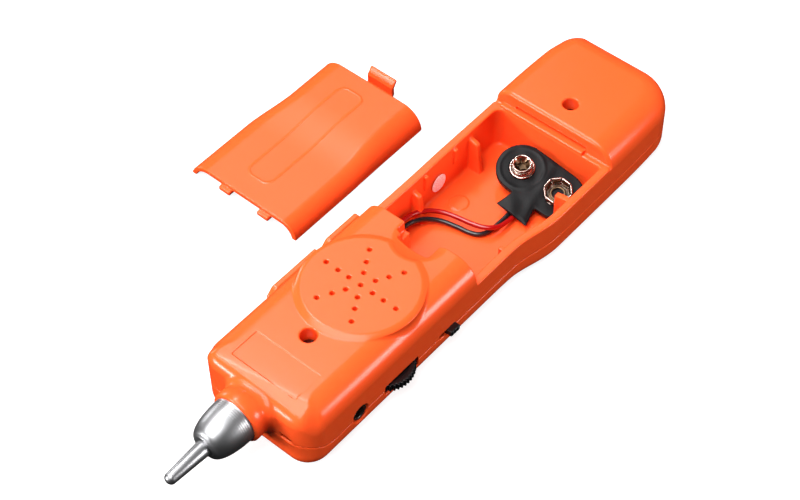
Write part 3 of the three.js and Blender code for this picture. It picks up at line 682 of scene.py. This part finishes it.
def set_down(points):
    """From the cover's closed place to where it lies."""
    return np.stack([
        COVER_REST[0] - points[:, 0], COVER_REST[1] + BAY_START - points[:, 1], points[:, 2] - RIM - GAP,
    ], 1)


# ------------------------------------------------------------------ turned pieces
def lathe(name, profile, axis, centre, segments=96):
    """A closed solid turned about the line along axis through centre. profile is (radius, position) in mm."""
    points, faces = [], []
    for radius, position in profile:
        for i in range(segments):
            angle = 2 * math.pi * i / segments
            ring = [radius * math.cos(angle), radius * math.sin(angle)]
            point = ring[:axis] + [position] + ring[axis:]
            points.append([p + c for p, c in zip(point, centre)])
    rows = len(profile)
    for row in range(rows):
        for i in range(segments):
            j = (i + 1) % segments
            after = (row + 1) % rows
            faces.append([row * segments + i, row * segments + j, after * segments + j, after * segments + i])
    obj = mesh_piece(name, points, faces)
    recalculate(obj)
    obj.data.set_sharp_from_angle(angle=math.radians(35))
    return obj


def recalculate(obj):
    """Merges points that coincide and turns every face outwards."""
    work = bmesh.new()
    work.from_mesh(obj.data)
    bmesh.ops.remove_doubles(work, verts=work.verts, dist=1e-7)
    bmesh.ops.dissolve_degenerate(work, edges=work.edges, dist=1e-7)
    bmesh.ops.recalc_face_normals(work, faces=work.faces)
    work.to_mesh(obj.data)
    work.free()
    obj.data.shade_smooth()


def ferrule():
    """The turned aluminium nose, rounded lengthways, with shallow grooves at its base."""
    profile = []
    for t in np.linspace(0, 1, 60):
        y = mix(-72.0, -82.6, t)
        radius = mix(3.5, 6.6, math.sqrt(1 - t**2.2))
        if t < 0.3:
            radius += 0.035 * math.cos(t * 2 * math.pi * 17)
        profile.append((radius, y))
    profile += [(3.3, -82.75), (2.2, -82.75), (2.2, -68.0), (6.2, -68.0), (6.6, -68.4)]
    return lathe("ferrule", profile, 1, (NOSE_X, 0, NOSE_Z))


def probe_rod():
    """The turned aluminium probe with its rounded tip."""
    tip = [(1.7 * math.sin(a), -94.5 - 1.5 * math.cos(a)) for a in np.linspace(0.05, math.pi / 2, 14)]
    shaft = [(2.3, -83.2), (2.15, -82.6), (2.15, -80), (2.15, -56), (1.0, -55.6)]
    socket = [(0.4, -55.6), (0.4, -60), (0.02, -60)]
    profile = tip + shaft + socket
    return lathe("rod", profile, 1, (NOSE_X, 0, NOSE_Z), 64)


def screw(name, x, y, z0):
    """A round-headed screw with a cross recess."""

    def solid(px, py, pz):
        r = np.hypot(px - x, py - y)
        head = common(r - 2.05, pz - z0 - 1.6 + 0.1 * r**2, 0.3)
        head = np.maximum(head, z0 + 0.02 - pz)
        shank = np.maximum(r - 1.05, np.maximum(3.5 - pz, pz - z0 - 0.5))
        body = np.minimum(head, shank)
        deep = z0 + 0.5 + 0.5 * r
        wings = np.minimum(
            np.maximum(np.abs(px - x) - 0.26, np.abs(py - y) - 1.25),
            np.maximum(np.abs(py - y) - 0.26, np.abs(px - x) - 1.25),
        )
        return cut(body, np.maximum(wings, deep - pz), 0.06)

    lines = (
        spaced((x - 2.5, x + 2.5, 0.12)), spaced((y - 2.5, y + 2.5, 0.12)),
        spaced((3.2, z0, 0.4), (z0, z0 + 2, 0.1)),
    )
    return field_piece(name, solid, lines)


def thumbwheel():
    """A knurled wheel with a shallow dish in its upper face."""
    wx, wy, wz = WHEEL

    def solid(x, y, z):
        r = np.hypot(x - wx, y - wy)
        angle = np.arctan2(y - wy, x - wx)
        teeth = 0.22 * np.clip(np.cos(angle * WHEEL_TEETH) * 1.6, -1, 1)
        rim = common(r - WHEEL_RADIUS - teeth, np.abs(z - wz) - 1.2, 0.3)
        dish = np.maximum(r - 6.2, wz + 0.85 - z)
        return cut(rim, dish, 0.15)

    lines = (
        spaced((wx - 8.3, wx + 8.3, 0.16)), spaced((wy - 8.3, wy + 8.3, 0.16)),
        spaced((wz - 1.5, wz + 1.5, 0.14)),
    )
    return field_piece("wheel", solid, lines)


def slider():
    """The switch's thumb nub with three grip ridges, and its stem."""
    sy, sz = SWITCH

    def solid(x, y, z):
        nub = block(x, y, z, (17.0, sy - 1.85, sz - 0.95), (20.9, sy + 1.85, sz + 0.95), 0.3)
        ridges = 0.22 * np.clip(np.cos((y - sy) * 2 * math.pi / 1.05) * 1.5, -1, 1)
        nub = np.maximum(nub, x - 20.95 - ridges)
        stem = block(x, y, z, (14.0, sy - 1.0, sz - 0.7), (17.5, sy + 1.0, sz + 0.7), 0.1)
        return np.minimum(nub, stem)

    lines = (
        spaced((13.8, 21.4, 0.12)), spaced((sy - 2.1, sy + 2.1, 0.12)),
        spaced((sz - 1.2, sz + 1.2, 0.12)),
    )
    return field_piece("slider", solid, lines)


def jack_sleeve():
    """The earphone socket's plated sleeve."""
    y, z = JACK
    profile = [(1.75, 12.1), (1.75, 18.5), (1.95, 18.75), (2.4, 18.75), (2.6, 18.5), (2.6, 12.1)]
    return lathe("sleeve", profile, 0, (0, y, z), 48)


def sticker():
    """A thin round label on the bay's left wall."""
    profile = [(0.02, -0.05), (2.9, -0.05), (2.9, 0.02), (2.86, 0.05), (0.02, 0.05)]
    return lathe("sticker", profile, 0, STICKER, 64)


# ------------------------------------------------------------------ the battery snap
def snap_matrix():
    """How the snap is turned and where its middle lies."""
    pitch, roll, yaw = (math.radians(a) for a in SNAP_TILT)
    turn = Matrix.Rotation(pitch, 3, "X") @ Matrix.Rotation(roll, 3, "Y") @ Matrix.Rotation(yaw, 3, "Z")
    return np.array(turn), np.array(SNAP_PLACE)


def tilt_snap(points):
    turn, place = snap_matrix()
    return points @ turn.T + place


def snap_outline(x, y):
    """The plate's outline: a long round with a flared tail for the leads."""
    lobes = segment_gap(x, y, (-SNAP_HALF, 0), (SNAP_HALF, 0)) - 7.5
    corners = [(-3.2, -5.5), (-5.2, -13.0), (5.7, -13.2), (3.6, -5.5)]
    tail = y + 5.5
    for (ax, ay), (bx, by) in zip(corners, corners[1:]):
        run = math.hypot(bx - ax, by - ay)
        tail = common(tail, ((x - ax) * (by - ay) - (y - ay) * (bx - ax)) / run, 0.15)
    return join(lobes, tail, 0.8)


def snap_plate(x, y, z):
    """The soft plate, slightly creased and wavy, with round seats for the two terminals."""
    edge = snap_outline(x, y)
    stud_side = np.hypot(x + SNAP_HALF, y)
    crease = 0.12 * np.exp(-(((stud_side - 6.4) / 0.6) ** 2))
    crease = crease + 0.2 * np.exp(-(((x + 0.2 * y - 1.2) / 1.6) ** 2))
    wave = 0.06 * np.sin(x * 0.9 + 1.3) * np.sin(y * 0.8) + 0.35 * ramp(-y, 7.5, 12) * np.cos(x * 0.6)
    top = z - crease * ramp(-edge, 0, 1.2) - wave * ramp(np.hypot(x - SNAP_HALF, y), 4.2, 6)
    thickness = mix(2.1, 0.9, ramp(-y, 7, 10))
    plate = common(edge, np.maximum(top, -z - thickness), 0.35)
    plate = common(plate, top, 0.3)
    seat_a = np.maximum(np.hypot(x + SNAP_HALF, y) - 3.75, -0.15 - z)
    seat_b = np.maximum(np.hypot(x - SNAP_HALF, y) - 4.1, -0.15 - z)
    return np.maximum(plate, -np.minimum(seat_a, seat_b))


def stud_terminal(x, y, z):
    """The smaller terminal: a flange with a rolled edge and a bulged, slotted cup."""
    px = x + SNAP_HALF
    r = np.hypot(px, y)
    flange = common(r - 3.6, np.abs(z + 0.02) - 0.24, 0.1)
    roll = np.hypot(r - 3.35, z - 0.12) - 0.36
    cup = common(r - 2.2 - 0.6 * ramp(z, 0.5, 2.1), z - 2.9, 0.4)
    cup = np.maximum(cup, -0.2 - z)
    solid = join(np.minimum(flange, roll), cup, 0.2)
    funnel = np.minimum(r - 1.0, (r - 1.0 - 0.95 * (z - 1.3)) * 0.72)
    solid = cut(solid, np.maximum(funnel, 0.4 - z), 0.2)
    turn = (np.arctan2(y, px) + math.pi / 5) % (2 * math.pi / 5) - math.pi / 5
    slits = np.maximum(np.abs(r * np.sin(turn)) - 0.24, np.abs(r - 1.5) - 0.55)
    return np.maximum(solid, -np.maximum(slits, 1.0 - z))


def crown_terminal(x, y, z):
    """The larger terminal: an open cup whose wall is cut into eight springy petals."""
    px = x - SNAP_HALF
    r = np.hypot(px, y)
    turn = (np.arctan2(y, px) + math.pi / 8) % (math.pi / 4) - math.pi / 8
    flat = r * np.cos(turn)
    lean = 3.55 - 0.3 * np.exp(-(((z - 1.1) / 0.5) ** 2)) + 0.22 * ramp(z, 1.5, 2.4)
    wall = common(np.abs(flat - lean) - 0.22, z - 2.4, 0.2)
    roll = np.hypot(flat - 3.72, z - 2.22) - 0.3
    wall = np.maximum(np.minimum(wall, roll), -0.1 - z)
    from_slit = r * np.sin(math.pi / 8 - np.abs(turn))
    wall = cut(wall, np.maximum(from_slit - 0.14, 0.8 - z), 0.08)
    floor = common(r - 3.9, np.abs(z + 0.05) - 0.2, 0.1)
    eyelet = common(np.abs(r - 1.95) - 0.3, z - 0.6, 0.25)
    eyelet = np.maximum(eyelet, -0.1 - z)
    solid = np.minimum(wall, join(floor, eyelet, 0.2))
    return np.maximum(solid, 1.65 - r)


def line_cup(obj, centre_x, radius, finish):
    """Gives the inside of a terminal's cup its own, darker finish."""
    turn, place = snap_matrix()
    obj.data.materials.append(finish)
    for polygon in obj.data.polygons:
        local = (np.array(polygon.center) * 1000 - place) @ turn
        if local[2] > 0.15 and math.hypot(local[0] - centre_x, local[1]) < radius:
            polygon.material_index = 1


# ------------------------------------------------------------------ leads
def lead(name, points, steps=8):
    """A round lead through points in mm, as a bevelled curve of one open spline."""
    path = [Vector(p) for p in points]
    path = [path[0] * 2 - path[1]] + path + [path[-1] * 2 - path[-2]]
    smooth = []
    for a, b, c, d in zip(path, path[1:], path[2:], path[3:]):
        for i in range(steps):
            t = i / steps
            smooth.append(0.5 * (
                b * 2 + (c - a) * t + (a * 2 - b * 5 + c * 4 - d) * t**2 + (b * 3 - a - c * 3 + d) * t**3
            ))
    smooth.append(path[-2])
    data = bpy.data.curves.new(name, "CURVE")
    data.dimensions = "3D"
    data.bevel_depth = LEAD_RADIUS / 1000
    data.bevel_resolution = 6
    data.use_fill_caps = True
    spline = data.splines.new("POLY")
    spline.points.add(len(smooth) - 1)
    for point, place in zip(spline.points, smooth):
        point.co = (*(place / 1000), 1)
    spline.use_smooth = True
    obj = bpy.data.objects.new(name, data)
    bpy.context.scene.collection.objects.link(obj)
    return obj


# ------------------------------------------------------------------ studio
def area_light(name, direction, size, power):
    way = Vector(direction).normalized()
    data = bpy.data.lights.new(name, "AREA")
    data.shape = "RECTANGLE"
    data.size, data.size_y = size
    data.energy = power
    light = bpy.data.objects.new(name, data)
    light.location = (Vector(LIGHT_TARGET) + way * LIGHT_DISTANCE) / 1000
    light.rotation_euler = (-way).to_track_quat("-Z", "Y").to_euler()
    bpy.context.scene.collection.objects.link(light)


def soft_sky():
    """A plain white surround, brightest high up on the left, past the butt."""
    world = bpy.data.worlds.new("studio")
    world.use_nodes = True
    nodes, links = world.node_tree.nodes, world.node_tree.links
    way = nodes.new("ShaderNodeTexCoord")
    toward = nodes.new("ShaderNodeVectorMath")
    toward.operation = "DOT_PRODUCT"
    toward.inputs[1].default_value = (-0.42, 0.48, 0.77)
    level = nodes.new("ShaderNodeMapRange")
    level.inputs["From Min"].default_value = -0.1
    level.inputs["To Min"].default_value = 0.26
    level.inputs["To Max"].default_value = 1.1
    links.new(way.outputs["Generated"], toward.inputs[0])
    links.new(toward.outputs["Value"], level.inputs["Value"])
    links.new(level.outputs["Result"], nodes["Background"].inputs["Strength"])
    return world


def pale_floor(half=3.0):
    corners = [(x, y, -0.0001) for x, y in ((-half, -half), (half, -half), (half, half), (-half, half))]
    mesh = bpy.data.meshes.new("floor")
    mesh.from_pydata(corners, [], [(0, 1, 2, 3)])
    floor = bpy.data.objects.new("floor", mesh)
    floor.data.materials.append(
        material("floor", (0.35, 0.35, 0.35), 0.9, Emission_Color=(1, 1, 1, 1), Emission_Strength=0.85)
    )
    bpy.context.scene.collection.objects.link(floor)
    floor.visible_diffuse = False
    floor.visible_glossy = False


def studio():
    scene = bpy.context.scene
    scene.view_settings.view_transform = "Standard"
    scene.world = soft_sky()
    pale_floor()
    for name, (direction, size, power) in LIGHTS.items():
        area_light(name, direction, size, power)


def add_shells():
    """The four orange pieces, on grids that are finer where there is more detail."""
    x = spaced((-23.2, -20.8, 0.3), (-20.8, 22.2, 0.35))
    y = spaced((-72.2, -6, 0.35), (-6, 2.4, 0.3), (2.4, 53.6, 0.5), (53.6, 60, 0.3), (60, 92.4, 0.5))
    z = spaced((0.6, 7.6, 0.5), (7.6, 12, 0.2), (12, 21.6, 0.4), (21.6, 25, 0.25))
    rear = field_piece("rear_shell", rear_case, (x, y, z), keep=0.45)
    finish_piece(rear, "case", ORANGE, "rear_case")
    x = spaced((-20, 22.2, 0.5))
    y = spaced((-72.2, -55, 0.5), (-55, 92.4, 0.6))
    z = spaced((-0.4, 6, 0.45), (6, 11.6, 0.3))
    front = field_piece("front_shell", front_case, (x, y, z), keep=0.45)
    finish_piece(front, "case", ORANGE, "front_case")
    x = spaced((-20, -6, 0.4), (-6, 8, 0.35), (8, 22.2, 0.4))
    y = spaced((0, 2, 0.3), (2, 10, 0.4), (10, 48, 0.5), (48, 54, 0.4), (54, 58, 0.3))
    z = spaced((16, 20, 0.3), (20, 23.9, 0.3))
    cover = field_piece("cover", battery_cover, (x, y, z), set_down, keep=0.4)
    finish_piece(cover, "cover", ORANGE, "battery_cover")
    lines = (spaced((-4.8, 5.6, 0.25)), spaced((-5.6, 2.2, 0.16)), spaced((16.2, 24.4, 0.16)))
    latch = field_piece("latch", cover_latch, lines, set_down)
    finish_piece(latch, "latch", ORANGE, "cover_latch")


def add_small_pieces():
    finish_piece(ferrule(), "case", ALUMINIUM, "nose_ferrule")
    finish_piece(probe_rod(), "case", ALUMINIUM, "probe_rod")
    for node, place in SCREWS.items():
        finish_piece(screw(node.replace("case_", ""), *place), "case", SCREW_STEEL_PAINTED_SHADE, node)
    finish_piece(thumbwheel(), "thumbwheel", BLACK_PLASTIC, "volume_thumbwheel")
    finish_piece(slider(), "switch_slider", BLACK_PLASTIC, "power_switch_slider")
    finish_piece(jack_sleeve(), "case", NICKEL, "earphone_jack_sleeve")
    finish_piece(sticker(), "case", PAPER, "inspection_sticker")


def add_snap_and_leads():
    lines = (spaced((-14.4, 14.4, 0.22)), spaced((-14.2, 7.9, 0.22)), spaced((-2.4, 1.1, 0.16)))
    plate = field_piece("snap_plate", snap_plate, lines, tilt_snap, keep=0.5)
    finish_piece(plate, "case", SOFT_VINYL, "battery_snap")
    lines = (spaced((-10.3, -2.6, 0.13)), spaced((-3.9, 3.9, 0.13)), spaced((-0.5, 3.1, 0.13)))
    stud = field_piece("stud", stud_terminal, lines, tilt_snap)
    finish_piece(stud, "case", NICKEL, "snap_stud_terminal")
    line_cup(stud, -SNAP_HALF, 2.15, CUP_INSIDE_BROWN)
    lines = (spaced((2.2, 10.8, 0.13)), spaced((-4.3, 4.3, 0.13)), spaced((-0.5, 2.7, 0.13)))
    crown = field_piece("crown", crown_terminal, lines, tilt_snap)
    finish_piece(crown, "case", NICKEL, "snap_crown_terminal")
    line_cup(crown, SNAP_HALF, 3.35, CUP_INSIDE_BROWN)
    red = lead("lead_red", LEAD_RED)
    finish_piece(red, "case", RED_SHEATH, "red_lead")
    black = lead("lead_black", LEAD_BLACK)
    finish_piece(black, "case", BLACK_SHEATH, "black_lead")
    return red, black, [plate, stud, crown]


studio()
add_camera()
red, black, snap = add_snap_and_leads()
add_shells()
add_small_pieces()
for node, finish in CAD_FINISHES.items():
    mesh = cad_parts[node].data
    mesh.materials.clear()
    mesh.materials.append(finish)
